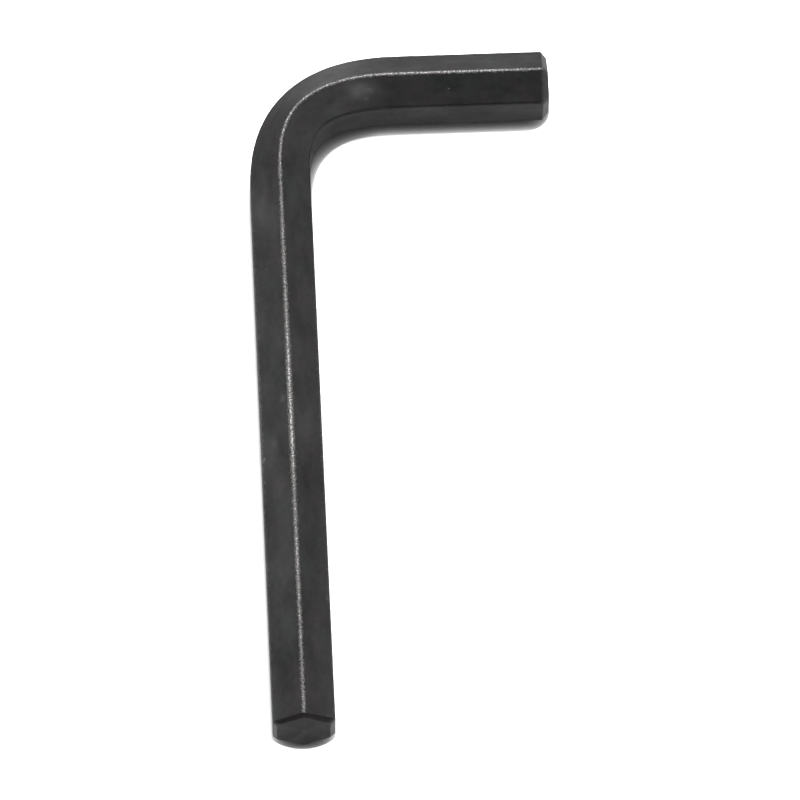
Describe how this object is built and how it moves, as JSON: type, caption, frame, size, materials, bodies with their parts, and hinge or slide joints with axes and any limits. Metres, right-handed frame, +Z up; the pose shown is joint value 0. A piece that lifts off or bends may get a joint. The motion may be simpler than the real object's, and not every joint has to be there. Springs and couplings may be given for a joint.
{
  "type": "hex key",
  "caption": "L-shaped hex key bent from one six-sided steel bar, blackened, with chamfered tips, for turning socket-head screws.",
  "frame": {"origin": "middle of the outline in plan, on the surface that the key lies on", "axes": "+Z up, with one long edge of the bar on top and one below; the long arm runs along Y and its tip points to -Y; the short arm leaves the far end of it along +X"},
  "size_m": [0.05, 0.122, 0.0114],
  "materials": {
    "blackened_steel": "black oxide, satin, worn bright along the raised edges"
  },
  "bodies": {
    "root": {"hex_key": "blackened_steel"}
  },
  "joints": []
}
